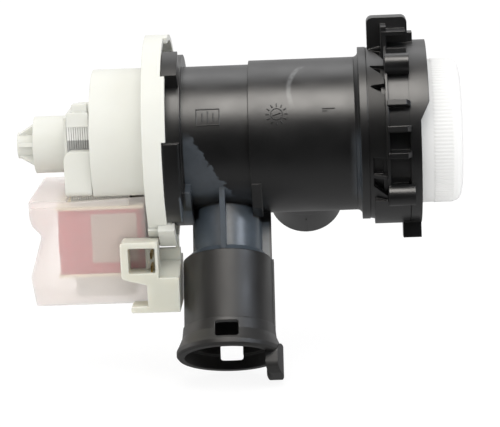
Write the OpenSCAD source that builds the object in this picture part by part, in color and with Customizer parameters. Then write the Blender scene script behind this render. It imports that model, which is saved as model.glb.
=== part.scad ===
// Washing-machine drain pump with filter housing.
// X runs along the main axis, from the motor (negative) to the filter plug (positive), Z is up.
// The origin is on the main axis, at the free edge of the collar.
// Clock angles go round the main axis: 0 is up, 90 is towards -Y, 180 is down.

/* [Filter tube and collar] */
// Outside radius of the filter tube
tube_r = 34; // [30:0.5:38]
// Length of the filter tube, from the chamber to the first collar ring
tube_len = 48.3; // [44:0.5:60]
// Wall of the black moulding
wall = 2.5; // [2:0.1:3]
// Length of the collar skirt, from the disc to the free edge
collar_len = 17.5; // [16:0.5:22]
// How far the skirt stands out beyond the tube
collar_step = 6.6; // [6:0.2:8]
// Wall of the collar skirt
collar_wall = 5; // [4.6:0.1:5.4]
// Depth of the pockets between the ribs
pocket_depth = 2.6; // [1.6:0.1:2.8]
// How far the lower part of the skirt is cut back
skirt_cut = 3.8; // [2:0.2:4.4]
// Thickness of the first collar ring
ring_t = 3.5; // [2:0.1:5]
// Height of the first collar ring above the tube
ring_h = 4.2; // [3.2:0.1:5]
// Length of the cone between the first ring and the disc
cone_len = 7.5; // [6:0.5:9]
// Thickness of the collar disc
disc_t = 1.3; // [1:0.1:2]
// How far the disc stands out beyond the skirt
disc_h = 2.9; // [2:0.1:3.4]
// Number of ribs around the collar
rib_count = 24; // [16:1:30]
// Length of the collar ribs
rib_len = 8.9; // [6:0.1:10]
// Height of the collar ribs above the skirt
rib_h = 3.9; // [3:0.1:4.4]
// Thickness of a collar rib
rib_t = 2.4; // [1.4:0.1:3]
// Height of the locating tab above the skirt
tab_h = 11.2; // [8:0.2:16]

/* [Pump chamber] */
// Outside radius of the pump chamber
chamber_r = 32.3; // [31:0.1:33.4]
// Length of the pump chamber
chamber_len = 29.3; // [29:0.1:36]
// Outside radius of the chamber flange
flange_r = 37.8; // [37:0.1:40]
// Thickness of the chamber flange
flange_t = 10.5; // [9.5:0.1:12]

/* [Outlet] */
// Angle of the outlet from straight down, towards -Y
outlet_angle = 30; // [20:1:40]
// Outlet axis behind the step between chamber and tube
outlet_back = 12; // [10:0.2:13]
// Outlet axis behind the main axis, towards the back of the chamber
outlet_off = 10.5; // [8:0.1:12]
// Outside radius of the outlet neck
neck_r = 15.4; // [14:0.1:16]
// Bore radius of the outlet neck
neck_bore_r = 12.9; // [11:0.1:13.2]
// Distance from the chamber's middle to the shoulder of the socket
shoulder_at = 54.8; // [53:0.1:57]
// Outside radius of the hose socket
socket_r = 19.7; // [19:0.1:20.5]
// Bore radius of the hose socket
socket_bore_r = 17; // [15:0.1:17.6]
// Distance from the chamber's middle to the mouth of the socket
mouth_at = 98.7; // [95:0.1:106]
// Height of the rim band at the mouth
mouth_band = 13.2; // [12:0.1:15]
// Outside radius of the rim at the mouth
mouth_r = 23.2; // [22:0.1:24]
// Bore radius of the widened mouth
mouth_bore_r = 19.8; // [18:0.1:20.4]
// Width of a latch window
window_w = 10.2; // [8:0.1:12]
// Height of a latch window
window_h = 7.4; // [5:0.1:8]

/* [Inlet] */
// Angle of the inlet stub below the horizontal, towards +Y
inlet_angle = 37; // [30:1:42]
// Inlet axis in front of the step between chamber and tube
inlet_ahead = 22.5; // [20:0.5:26]
// Outside radius of the inlet stub at its root
inlet_r = 17.5; // [17.2:0.1:19]
// Outside radius of the inlet stub where the hose sits
hose_r = 17; // [16:0.1:17.1]
// Length of the hose seat on the inlet stub
hose_len = 19; // [12:0.5:20]
// Bore radius of the inlet stub
inlet_bore_r = 15; // [12:0.1:15.4]
// Distance from the main axis to the end of the inlet stub
inlet_end = 65; // [60:0.5:75]

/* [Motor carrier] */
// Outside radius of the carrier rim
rim_r = 47; // [46:0.1:49]
// Width of the carrier rim
rim_w = 10.1; // [9:0.1:10.4]
// Wall of the carrier rim
rim_wall = 2.6; // [2:0.1:3.2]
// Thickness of the carrier disc
carrier_t = 5.1; // [4:0.1:7]
// Outside radius of the shroud
shroud_r = 32.6; // [32:0.1:34]
// Length of the shroud
shroud_len = 24; // [23:0.1:27]
// Height of the shroud's lower edge below the main axis
shroud_drop = 19.6; // [17:0.1:19.6]
// Wall of the white mouldings
white_wall = 2; // [1.6:0.1:2.2]
// Outside radius of the rotor can
can_r = 12.7; // [12.5:0.1:13]
// Wall of the rotor can
can_wall = 1; // [0.8:0.05:1.1]
// Length of the rotor can behind the carrier disc
can_len = 51.3; // [51:0.1:56]
// Length of the finned nose on the can
nose_len = 7.8; // [6:0.1:10]
// Radius of the nose hub
nose_r = 5.8; // [4:0.1:7]

/* [Stator] */
// Number of steel plates
plate_count = 26; // [24:1:27]
// Pitch of the plates
plate_pitch = 1; // [0.95:0.01:1.03]
// Gap drawn between the plates
plate_gap = 0.2; // [0.05:0.01:0.3]
// Half width of the stack
stack_half = 21; // [20:0.1:21.4]
// Half of the space between its legs
leg_inner = 7.5; // [7.2:0.1:8]
// Height of the stack above the main axis
stack_top = 13; // [12.6:0.1:13.4]
// Height of the yoke across the legs
yoke_h = 10; // [8:0.1:12]
// Height of a winding
winding_h = 28.6; // [26:0.1:29.6]
// Thickness of a winding around its bobbin
winding_t = 4.6; // [3:0.1:4.8]
// Wall of a bobbin
bobbin_wall = 1.2; // [0.8:0.1:1.4]
// Wall of the coil cover
cover_wall = 1.4; // [1:0.1:1.6]

/* [Rotor and impeller] */
// Radius of the shaft
shaft_r = 2; // [1.6:0.1:2.4]
// Outside radius of the bushes
bush_r = 5; // [4.2:0.1:5.4]
// Length of the magnet
magnet_len = 34.5; // [28:0.5:36]
// Radius of the impeller over its blades
impeller_r = 25.5; // [22:0.1:27]
// Number of impeller blades
blade_count = 6; // [4:1:8]
// Half angle of each driving dog
dog_half = 25; // [20:1:28]

/* [Filter plug] */
// Gap between the collar's bore and the plug's grip ribs
plug_gap = 3.7; // [3.4:0.05:4]
// How far the plug stands out of the collar
plug_out = 14.6; // [10:0.1:20]
// Number of grip ribs on the plug
grip_count = 120; // [90:2:140]
// Lead of the plug's quick thread
thread_lead = 100; // [80:5:110]
// Gap between the comb's end and the step of the chamber
comb_gap = 1; // [0.6:0.1:8]
// Number of comb fingers
finger_count = 10; // [6:1:14]

/* [Connector] */
// Length of the connector frame along the main axis
frame_w = 16.2; // [15:0.1:18]
// Depth of the connector frame
frame_depth = 11.4; // [9:0.1:14]
// Wall of the connector frame at its left side
frame_wall = 3.3; // [2:0.1:4]

/* [Hidden] */
$fn = 72;
// Clearances
run_gap = 0.04;     // shaft in bush, impeller on shaft
seat_gap = 0.3;     // between mouldings that meet
press_gap = 0.02;   // pieces held on the shaft
slip_gap = 0.4;     // plug in the tube, lug beside its thread

// Stations along X, from the collar edge back to the nose
disc_front = -collar_len;
disc_back = disc_front - disc_t;
ring_front = disc_back - cone_len;
ring_back = ring_front - ring_t;
step_x = ring_back - tube_len;
flange_front = step_x - chamber_len;
flange_back = flange_front - flange_t;
carrier_front = flange_back - seat_gap;
carrier_back = carrier_front - carrier_t;
rim_front = carrier_back + rim_w;
shroud_back = carrier_back - shroud_len;
can_back = carrier_back - can_len;
nose_back = can_back - nose_len;

// Bores and collar radii
tube_bore = tube_r - wall;
chamber_bore = chamber_r - wall;
skirt_r = tube_r + collar_step;
skirt_bore = skirt_r - collar_wall;
ring_r = tube_r + ring_h;
disc_r = skirt_r + disc_h;
rib_r = skirt_r + rib_h;
rib_front = disc_front + rib_len;
pocket_r = skirt_r - pocket_depth;
cone_r = tube_r + 3.8;
cone_end = skirt_r - 1;
cone_floor = skirt_bore + 1.4;
cone_deep = tube_r + 1;
seat_x = disc_back - 1.2;
boss_r = 4.6;
boss_at = skirt_r + 3.4;
boss_hole_r = 1.8;
boss_hole_depth = 9;
boss_fronts = [rib_front + 0.5, rib_front + 1.6];
boss_angles = [39, 119];
clip_angle = 20;
clip_w = 16.5;      // reach of the clip box beside the tab
clip_h = 6.2;
clip_t = 1.8;
fill_from = -12;     // smooth upper part of the collar, between two ribs
fill_to = 79;
tab_half = 5;
foot_angle = 172;
fittings = concat(boss_angles, [0, clip_angle, foot_angle]);
rib_clear = 10.5;
rib_first = 4.2;
rib_pitch = 360/rib_count;
block_from = 127;   // smooth block at the bottom of the collar
block_to = 190;
// Pockets in the cone as clock angles: two at the narrow end, two at the disc
cone_pockets = concat([[9, 10, 12, 28], [32, 33, 34.5, 43.5], [49, 50, 49, 56.5], [97.5, 109, 97.5, 109],
  [112, 118, 112, 125]], [for (a = [205:25:330]) [a, a + 1, a + 2, a + 14]]);
cone_pocket_back = 1.6;
bayonet = [[25, 44], [83, 131]];
rim_notches = [[8, 45], [82, 132]];
notch = 1.8;
skirt_cut_from = 74;
skirt_slant = 8;
skirt_cut_to = 290;
catch_angle = 138;
cradle_from = 132.3;
cradle_to = 148;
bayonet_r = rim_r - 0.6;
web_r = rim_r - rim_wall - 6;
web_from = 118;
web_to = 172;

// Outlet and inlet axes along X
outlet_x = step_x - outlet_back;
inlet_x = step_x + inlet_ahead;
socket_floor = shoulder_at + 3;
window_at = mouth_at - mouth_band + 1.6;
fin_end = mouth_at + 9;
lip_band = 4.2;
strip_h = 0.6;
key_bore = mouth_bore_r - 1.2;
key_half = 10;
neck_rib_t = 2.4;

// Bearing plate and seals
plate_r = chamber_bore + 2.6;
plate_recess = 3.3;
plate_front = flange_back + plate_recess - seat_gap;
plate_back = carrier_front + 0.1;
hub_back = plate_back - 8.4;
seal_front = plate_front + 4.8;
seal_r = 8;
seal_len = 3.5;
gland_r = (plate_r + seat_gap + flange_r)/2;
cord_r = 0.95;
plate_groove = 4.1;

// Stator
can_bore = can_r - can_wall;
stack_len = plate_count*plate_pitch;
stack_front = carrier_back - 8.7;
stack_back = stack_front - stack_len;
stack_mid = (stack_front + stack_back)/2;
coil_top = -shroud_drop - 4.2;
bobbin_t = 1.5;
coil_low = coil_top - 2*bobbin_t - winding_h;
yoke_top = coil_low - 0.4;
stack_low = yoke_top - yoke_h;
leg_mid = (stack_half + leg_inner)/2;
leg_half = (stack_half - leg_inner)/2;
former_y = leg_half + seat_gap + bobbin_wall;
former_x = stack_len/2 + seat_gap + bobbin_wall;
coil_y = former_y + winding_t;
coil_x = former_x + winding_t;

// Bracket around the stack
bracket_front = shroud_back - seat_gap;
bracket_back = stack_back - 1.4;
bracket_half = stack_half + 6.4;
bracket_top = stack_top + 1.8;
strap_top = stack_top + 4.8;
strap_y = -stack_half - 0.2;
strap_in = 2.2;      // strap in from the back of the bracket
bracket_low = -shroud_drop + seat_gap;
sight_low = 0.7;
sight_top = 11.6;
shoulder_round = 4;

// Coil cover
cover_half = leg_mid + coil_y + 0.6 + cover_wall;
cover_front = stack_mid + coil_x + 0.6 + cover_wall;
cover_back = stack_mid - coil_x - 11.7;
cover_top = -shroud_drop - 0.4;
cover_low = stack_low - 0.3 - cover_wall;
lip_h = 3.3;
lip_out = 1.1;
cover_shelf = stack_back - 1 - cover_back;
cover_neck = 8;      // straight upper part of the back
cover_waist = 16;    // depth of the waist below the top
waist_in = 5;
cover_hip = 13;      // height of the lower bulge

// Rotor
bush_len = 4.3;
rear_seat = can_back + 1.5;
magnet_back = rear_seat + 6.2;
magnet_r = can_bore - 0.8;
hub_r = 5.5;
hub_front = hub_back - 1.7;
dog_back = seal_front + 3;
dog_len = 8;
dog_r = 9.2;
dog_hub_r = 4.6;
cup_r = 12;
cup_bore = dog_r + 0.6;
cup_back = seal_front + 1.4;
blade_tip = 5.5;
hub_wall = 3;
cup_floor = dog_back + dog_len + slip_gap;
nut_back = cup_floor + 6.6;
shaft_back = rear_seat + 0.4;
shaft_front = nut_back + 1.6;

// Filter plug
barrel_r = tube_bore - 0.5;
barrel_back = seat_x - 11;
shoulder_x = seat_x + seat_gap;
plug_front = plug_out;
plug_r = skirt_bore - plug_gap;
grip_h = 0.16;
plug_core = plug_r - grip_h;
plug_round = 4.2;    // length of the round front edge
ring_x = seat_x - 7;
oring_r = 1.25;
oring_mid = tube_bore - 0.05 - oring_r;
thread_span = 30;
thread_t = 2.6;
thread_r = skirt_bore - 1.6;
thread_high = seat_x + slip_gap + thread_t/2 + thread_lead*thread_span/360;
lug_half = 5;
lug_angles = [60, 240];
lug_back = thread_high + thread_t/2 + thread_lead*lug_half/360 + slip_gap;
lug_t = 2.2;
lug_bore = plug_r + slip_gap;

// Connector beside the coil cover
frame_back_y = -cover_half - seat_gap;
frame_y = frame_back_y - frame_depth;
frame_right = carrier_back + 3.9;
frame_left = frame_right - frame_w;
frame_top = -37.9;
frame_low = -56.8;
web_t = 2;
foot_in = 3.6;
foot_t = 2.8;
frame_cut = 11;      // slanting lower edge of the frame, and left edge of the block below it
block_drop = 3;
block_reach = 12.7;
block_right = carrier_back + block_reach;
block_left = cover_front + 0.5;
block_low = cover_low - 1.6;
block_top = -rim_r - block_drop;

// Helpers

// Cylinder along X
module rod(x0, x1, r) translate([x0, 0, 0]) rotate([0, 90, 0]) cylinder(h = x1 - x0, r = r);

// Profile of [x, radius] points turned about the main axis
module turned(profile) rotate([0, 90, 0]) rotate_extrude() polygon([for (p = profile) [p[1], p[0]]]);

// Wedge of the YZ plane between two clock angles
module wedge(r, a0, a1) polygon(concat([[0, 0]],
  [for (i = [0:8]) let (a = a0 + (a1 - a0)*i/8) [-r*sin(a), r*cos(a)]]));

// Ring segment along X, between two radii and two clock angles
module segment(x0, x1, r0, r1, a0, a1) translate([x0, 0, 0]) rotate([90, 0, 90])
  linear_extrude(height = x1 - x0) intersection() {
    difference() {
      circle(r = r1);
      circle(r = r0);
    }
    wedge(2*r1, a0, a1);
  }

// Flat fin of [x, height] points, standing on the main axis and turned to a clock angle
module fin(profile, t, a) rotate([a, 0, 0]) rotate([90, 0, 0])
  linear_extrude(height = t, center = true) polygon(profile);

// Block at a clock angle, between two radii
module block_at(a, x0, x1, half, r0, r1)
  rotate([a, 0, 0]) translate([x0, -half, r0]) cube([x1 - x0, 2*half, r1 - r0]);

// Plain ring along X
module ring(x0, x1, r_in, r_out) difference() {
  rod(x0, x1, r_out);
  rod(x0 - 1, x1 + 1, r_in);
}

// Round cord ring about X
module cord_ring(x, mid, r) translate([x, 0, 0]) rotate([0, 90, 0])
  rotate_extrude() translate([mid, 0]) circle(r = r);

// Rectangle with round corners
module round_rect(x0, y0, x1, y1, r) {
  translate([x0 + r, y0]) square([x1 - x0 - 2*r, y1 - y0]);
  translate([x0, y0 + r]) square([x1 - x0, y1 - y0 - 2*r]);
  for (x = [x0 + r, x1 - r], y = [y0 + r, y1 - r]) translate([x, y]) circle(r = r, $fn = 32);
}

// Upright block whose corners are round as seen from the front
module round_block(x0, z0, x1, z1, y0, y1, r)
  translate([0, y1, 0]) rotate([90, 0, 0]) linear_extrude(height = y1 - y0) round_rect(x0, z0, x1, z1, r);

// Axes of the outlet and the inlet: children stand along +Z
module on_outlet() translate([outlet_x, 0, 0]) rotate([180 - outlet_angle, 0, 0])
  translate([0, -outlet_off, 0]) children();
module on_inlet() translate([inlet_x, 0, 0]) rotate([270 - inlet_angle, 0, 0]) children();

// Filter housing

module tube_outside() {
  turned([[flange_back, 0], [flange_back, flange_r], [flange_front, flange_r], [flange_front, chamber_r],
    [step_x, chamber_r], [step_x, tube_r], [ring_back, tube_r], [ring_back, ring_r], [ring_front, ring_r],
    [ring_front, cone_r], [disc_back, cone_end], [disc_back, disc_r], [disc_front, disc_r],
    [disc_front, pocket_r], [rib_front, pocket_r], [rib_front, skirt_r], [0, skirt_r], [0, 0]]);
}

module tube_bores() {
  turned([[flange_back - 1, 0], [flange_back - 1, plate_r + seat_gap],
    [flange_back + plate_recess, plate_r + seat_gap], [flange_back + plate_recess, chamber_bore],
    [step_x, chamber_bore], [step_x, tube_bore], [seat_x, tube_bore], [seat_x, skirt_bore],
    [1, skirt_bore], [1, 0]]);
  // groove for the flange seal
  difference() {
    rod(flange_back - 1, flange_back + 1.7, gland_r + cord_r + 0.1);
    rod(flange_back - 2, flange_back + 2, gland_r - cord_r - 0.1);
  }
  // lower part of the skirt
  segment(-skirt_cut, 1, skirt_bore - 1, skirt_r + 1, skirt_cut_from, skirt_cut_to);
  rotate([skirt_cut_from, 0, 0]) translate([0, 0, skirt_bore - 3]) linear_extrude(height = collar_wall + 5)
    polygon([[-skirt_cut, -1], [-skirt_cut, 0], [1, skirt_slant*(1 + 1/skirt_cut)], [1, -1]]);
}

// Whether a rib at this clock angle stands free of the fittings and of the block below
function rib_free(a) = min([for (f = fittings) abs(a - f)]) > rib_clear && (a < block_from || a > block_to);

module collar_ribs() for (i = [0:rib_count - 1]) let (a = rib_first + i*rib_pitch) if (rib_free(a))
  fin([[disc_front - 0.5, pocket_r - 1], [rib_front + 0.5, pocket_r - 1], [rib_front + 0.5, rib_r - 2.4],
    [rib_front - 1.2, rib_r], [disc_front - 0.5, rib_r]], rib_t, a);

// Pockets behind the disc: they narrow towards the first ring and are deeper behind the plug's seat
module cone_pocket(p) let (mid = (p[2] + p[3])/2, x0 = ring_front + cone_pocket_back, x1 = disc_back + 0.2,
    x2 = seat_x - 0.4, k = (x2 - x0)/(x1 - x0)) rotate([mid, 0, 0]) {
  translate([0, 0, cone_floor]) linear_extrude(height = disc_r)
    polygon([for (q = [[p[0], x0], [p[1], x0], [p[3], x1], [p[2], x1]]) [q[1], skirt_r*tan(mid - q[0])]]);
  translate([0, 0, cone_deep]) linear_extrude(height = disc_r)
    polygon([for (q = [[p[0], x0 + 0.3, -1], [p[1], x0 + 0.3, 1], [p[1] + k*(p[3] - p[1]), x2, 1],
      [p[0] + k*(p[2] - p[0]), x2, -1]]) [q[1], skirt_r*tan(mid - q[0]) + 0.3*q[2]]]);
}

// Collar and tube: the disc and the cone are cut back to the skirt at the bottom
module tube_shape() {
  difference() {
    union() {
      tube_outside();
      segment(ring_front + cone_pocket_back + 0.4, rib_front - 0.3, cone_r - 1, skirt_r + 0.8, block_from + 1,
        block_to - 1);
      segment(disc_front - 0.5, rib_front + 0.5, pocket_r - 1, skirt_r - 0.05, fill_from, fill_to);
    }
    segment(ring_front + cone_pocket_back, rib_front + 1, skirt_r - 0.1, disc_r + 1, block_from, block_to);
    for (p = cone_pockets) cone_pocket(p);
  }
}

module collar_fittings() {
  // screw bosses
  for (i = [0:1]) {
    rotate([boss_angles[i], 0, 0]) translate([0, 0, boss_at]) rod(disc_back + 0.3, boss_fronts[i], boss_r);
    block_at(boss_angles[i], disc_front - 0.5, rib_front - 1, 2, pocket_r - 1, boss_at - 2);
  }
  // locating tab on top
  round_block(ring_front + 0.8, skirt_r - 4.4, rib_front + 0.8, skirt_r + tab_h, -tab_half, tab_half, 2.6);
  translate([rib_front - 1, 1 - tab_half, skirt_r - 2]) cube([4, 2*tab_half - 2, 6]);
  // clip box beside the tab, open to the front and outwards, and its back plate
  difference() {
    translate([disc_back - 0.6, -clip_w, skirt_bore - 2.6])
      cube([rib_front - disc_back + 0.4, clip_w - tab_half + 1, clip_h + collar_wall + 2.6]);
    translate([disc_front + 0.2, -clip_w - 1, skirt_r - 1])
      cube([rib_len + 1, clip_w - tab_half + 1.4, clip_h - clip_t + 1]);
  }
  translate([disc_back - 0.8, -clip_w + 0.1, skirt_r - 2])
    cube([disc_t + 1.1, clip_w - tab_half + 0.8, tab_h - 0.8]);
  // foot below, with its slot
  difference() {
    block_at(foot_angle, disc_front + 5.5, -skirt_cut - 0.2, 7, pocket_r - 1, skirt_r + 6.2);
    block_at(foot_angle, -skirt_cut - 2.2, -skirt_cut + 1, 4, skirt_r + 1, skirt_r + 4.4);
  }
}

module outlet_outside() on_outlet() {
  cylinder(h = shoulder_at, r = neck_r);
  translate([0, 0, shoulder_at - 3]) cylinder(h = 3, r1 = neck_r + 1, r2 = socket_r);
  translate([0, 0, shoulder_at]) cylinder(h = mouth_at - shoulder_at, r = socket_r);
  rotate_extrude() translate([0, mouth_at]) polygon([[0, -mouth_band], [socket_r + 0.5, -mouth_band],
    [socket_r + 1, -2*lip_band], [mouth_r - 0.7, -lip_band], [mouth_r, 1.4 - lip_band], [mouth_r, -1],
    [mouth_r - 0.8, 0], [0, 0]]);
  // rib on the front of the neck, web on its right, strip along the socket
  translate([-2.1, 0, 0]) rotate([90, 0, 90]) linear_extrude(height = neck_rib_t)
    polygon([[0, chamber_bore - 6], [neck_r + outlet_off, chamber_bore - 2],
      [socket_r - 0.4, shoulder_at - 0.6], [0, shoulder_at - 0.6]]);
  translate([0, -1.3, chamber_bore]) cube([socket_r - 0.2, 2.6, shoulder_at - chamber_bore + 0.3]);
  translate([0, -2, shoulder_at]) cube([socket_r + strip_h, 4, mouth_at - shoulder_at - lip_band]);
  // gusset between the tube and the right of the neck
  translate([neck_r - 3.2, outlet_off, 0]) rotate([90, 0, 90]) linear_extrude(height = 4.2)
    polygon([[-4, chamber_bore - 5], [neck_r + 3, chamber_bore - 5], [neck_r + 3, chamber_bore - 0.8],
      [neck_r - 7.4, chamber_bore + 6.6], [-4, chamber_bore + 6.6]]);
}

// Key that stands past the mouth on the right
module outlet_key() on_outlet() intersection() {
  translate([0, 0, mouth_at - lip_band]) difference() {
    cylinder(h = fin_end - mouth_at + lip_band, r = mouth_r + 0.3);
    translate([0, 0, -1]) cylinder(h = fin_end, r = key_bore);
  }
  translate([mouth_r/2, 0, 0]) rotate([90, 0, 90]) linear_extrude(height = mouth_r)
    round_rect(-key_half, mouth_at - lip_band, key_half, fin_end, 4.5);
}

module outlet_bores() on_outlet() {
  cylinder(h = mouth_at, r = neck_bore_r);
  translate([0, 0, socket_floor]) cylinder(h = mouth_at, r = socket_bore_r);
  translate([0, 0, mouth_at - 6]) cylinder(h = 12, r = mouth_bore_r);
  translate([-window_w/2, 0, window_at]) rotate([90, 0, 0]) translate([0, 0, -mouth_r - 1])
    linear_extrude(height = 2*mouth_r + 2) round_rect(0, 0, window_w, window_h, 1.2);
}

module inlet_outside() on_inlet() {
  cylinder(h = inlet_end - hose_len, r = inlet_r);
  cylinder(h = inlet_end, r = hose_r);
}

module bayonet_tabs() for (a = bayonet)
  segment(rim_front - notch + seat_gap, flange_front - 0.6, chamber_r + 1, bayonet_r, a[0], a[1]);

// Web between the flange and the neck, below
module neck_web() segment(rim_front + 0.6, flange_front + 3, chamber_r - 0.5, web_r, web_from, web_to);

module filter_housing() color("#2b2d30") {
  difference() {
    union() {
      tube_shape();
      collar_ribs();
      collar_fittings();
      outlet_outside();
      inlet_outside();
      bayonet_tabs();
      neck_web();
    }
    tube_bores();
    outlet_bores();
    on_inlet() cylinder(h = inlet_end + 1, r = inlet_bore_r);
    for (i = [0:1]) rotate([boss_angles[i], 0, 0]) translate([0, 0, boss_at])
      rod(boss_fronts[i] - boss_hole_depth, boss_fronts[i] + 1, boss_hole_r);
  }
  outlet_key();
  // lugs that hold the plug by its thread
  for (a = lug_angles)
    segment(lug_back, lug_back + lug_t, lug_bore, skirt_bore + 1, a - lug_half, a + lug_half);
}

// Motor carrier and stator

module nose() {
  rod(nose_back, can_back + 0.5, nose_r);
  for (i = [0:5]) fin([[can_back + 0.5, 0], [can_back + 0.5, can_r - 1.9], [nose_back, nose_r - 0.4],
    [nose_back, 0]], 2, 20 + 60*i);
}

module shroud() difference() {
  rod(shroud_back, carrier_back, shroud_r);
  rod(shroud_back + white_wall, carrier_back + 1, shroud_r - white_wall);
  translate([shroud_back - 1, -shroud_r - 1, -shroud_r - 1])
    cube([shroud_len + 1, 2*shroud_r + 2, shroud_r + 1 - shroud_drop]);
  translate([shroud_back - 1, -stack_half - seat_gap, -shroud_r])
    cube([white_wall + 2, 2*(stack_half + seat_gap), shroud_r + stack_top + seat_gap]);
}

module motor_carrier() color("#e6e8df") difference() {
  union() {
    difference() {
      rod(carrier_back, rim_front, rim_r);
      rod(carrier_front, rim_front + 1, rim_r - rim_wall);
    }
    shroud();
    rod(can_back, carrier_back + 1, can_r);
    nose();
    // catch on the rim, above the connector
    block_at(catch_angle, cover_front + seat_gap, rim_front - notch - 0.6, 2.6, rim_r - 2, rim_r + 1.2);
    segment(frame_right + 0.4, rim_front + 1.4, rim_r - 1, rim_r + 3.4, cradle_from, cradle_to);
  }
  difference() {
    rod(rear_seat, carrier_front + 1, can_bore);
    rod(rear_seat - 1, rear_seat + bush_len, bush_r + 2.4);
  }
  rod(rear_seat, rear_seat + bush_len + 1, bush_r + press_gap);
  // notches for the bayonet tabs
  for (a = rim_notches)
    segment(rim_front - notch, rim_front + 1, rim_r - rim_wall - 1, rim_r + 2, a[0], a[1]);
}

module stator_bracket() color("#e9ebe2") difference() {
  union() {
    translate([bracket_back, 0, 0]) rotate([90, 0, 90]) linear_extrude(height = bracket_front - bracket_back)
      round_rect(-bracket_half, bracket_low, bracket_half, bracket_top, 2.5);
    // strap and thin tab in front
    round_block(bracket_back + strap_in, sight_top - 1, bracket_front, strap_top, -bracket_half, strap_y, 1);
    round_block(bracket_back + 4.4, strap_top - 2, bracket_front - 0.6, strap_top + 3.5, -bracket_half + 2,
      strap_y, 0.8);
  }
  // room for the stack, open below, and for the rotor can
  translate([stack_back - 0.1, -stack_half - 0.2, bracket_low - 1])
    cube([bracket_front - stack_back + 2, 2*stack_half + 0.4, stack_top + 0.2 - bracket_low + 1]);
  rod(bracket_back - 1, bracket_front + 1, can_r + seat_gap);
  translate([bracket_back - 1, -leg_inner, bracket_low - 1]) cube([4, 2*leg_inner, -bracket_low]);
  // window on each side, and the round shoulder below it
  for (y = [-bracket_half - 1, stack_half + 0.1]) translate([0, y + bracket_half - stack_half + 0.9, 0])
    rotate([90, 0, 0]) linear_extrude(height = bracket_half - stack_half + 0.9) {
      translate([bracket_back - 1, sight_low])
        square([bracket_front - bracket_back + 5, sight_top - sight_low]);
      translate([bracket_back - 1, sight_low]) square([strap_in + 0.8, bracket_top + 1 - sight_low]);
      difference() {
        translate([bracket_back - 1, sight_low - shoulder_round])
          square([shoulder_round + 1, shoulder_round + 0.5]);
        translate([bracket_back + shoulder_round, sight_low - shoulder_round]) circle(r = shoulder_round);
      }
    }
}

module lamination() difference() {
  translate([-stack_half, stack_low]) square([2*stack_half, stack_top - stack_low]);
  translate([-leg_inner, yoke_top]) square([2*leg_inner, stack_top - yoke_top + 1]);
  circle(r = can_r + seat_gap);
}

module stator_laminations() color("#8d9093") for (i = [0:plate_count - 1])
  translate([stack_back + i*plate_pitch, 0, 0]) rotate([90, 0, 90])
    linear_extrude(height = plate_pitch - plate_gap) lamination();

// Coil former on one leg; side is -1 for the front leg and 1 for the rear one
module bobbin(side) translate([stack_mid, side*leg_mid, 0]) difference() {
  union() {
    translate([-former_x, -former_y, coil_low]) cube([2*former_x, 2*former_y, coil_top - coil_low]);
    for (z = [coil_low, coil_top - bobbin_t])
      translate([-coil_x - 0.2, -coil_y, z]) cube([2*coil_x + 0.4, 2*coil_y, bobbin_t]);
  }
  translate([-stack_len/2 - seat_gap, -leg_half - seat_gap, coil_low - 1])
    cube([stack_len + 2*seat_gap, 2*(leg_half + seat_gap), coil_top - coil_low + 2]);
}

module winding(side) translate([stack_mid, side*leg_mid, coil_low + bobbin_t]) difference() {
  linear_extrude(height = winding_h) round_rect(-coil_x, -coil_y + 0.1, coil_x, coil_y - 0.1, 3.5);
  translate([-former_x, -former_y, -1]) cube([2*former_x, 2*former_y, winding_h + 2]);
}

module bobbin_front() color("#d8d2bf") bobbin(-1);
module bobbin_rear() color("#d8d2bf") bobbin(1);
module winding_front() color("#c4525a") winding(-1);
module winding_rear() color("#c4525a") winding(1);

module coil_label() color("#c9bfae")
  translate([stack_mid - 4, -leg_mid - coil_y - 0.1, coil_low + bobbin_t + 5])
    cube([coil_x + 1, 0.2, winding_h - 7]);

// Side outline of the cover, drawn in by t
module cover_outline(t) polygon([[cover_back + t, cover_top + 1], [cover_back + t, cover_top - cover_neck],
  [cover_back + 1 + t, cover_top - 0.72*cover_waist], [cover_back + waist_in + t, cover_top - cover_waist],
  [cover_back - 0.8 + t, cover_low + cover_hip], [cover_back + 1 + t, cover_low + t],
  [cover_front - t, cover_low + t], [cover_front - t, cover_top + 1]]);

module cover_body(t) translate([0, cover_half - t, 0]) rotate([90, 0, 0])
  linear_extrude(height = 2*(cover_half - t)) cover_outline(t);

module coil_cover() color("#e9dcd8", 0.45) difference() {
  union() {
    intersection() {
      cover_body(0);
      translate([cover_back - 5, -cover_half - 1, cover_low - 5])
        cube([cover_front - cover_back + 10, 2*cover_half + 2, cover_top - cover_low + 5]);
    }
    // lip along the top
    translate([cover_back - 0.2, -cover_half - lip_out, cover_top - lip_h])
      cube([cover_front - cover_back - 8, 2*(cover_half + lip_out), lip_h]);
  }
  // inside, open above the stack and closed beside it
  difference() {
    cover_body(cover_wall);
    translate([cover_back - 1, -cover_half, cover_top - cover_wall]) cube([cover_shelf + 1, 2*cover_half, 4]);
  }
}

// Connector

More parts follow.
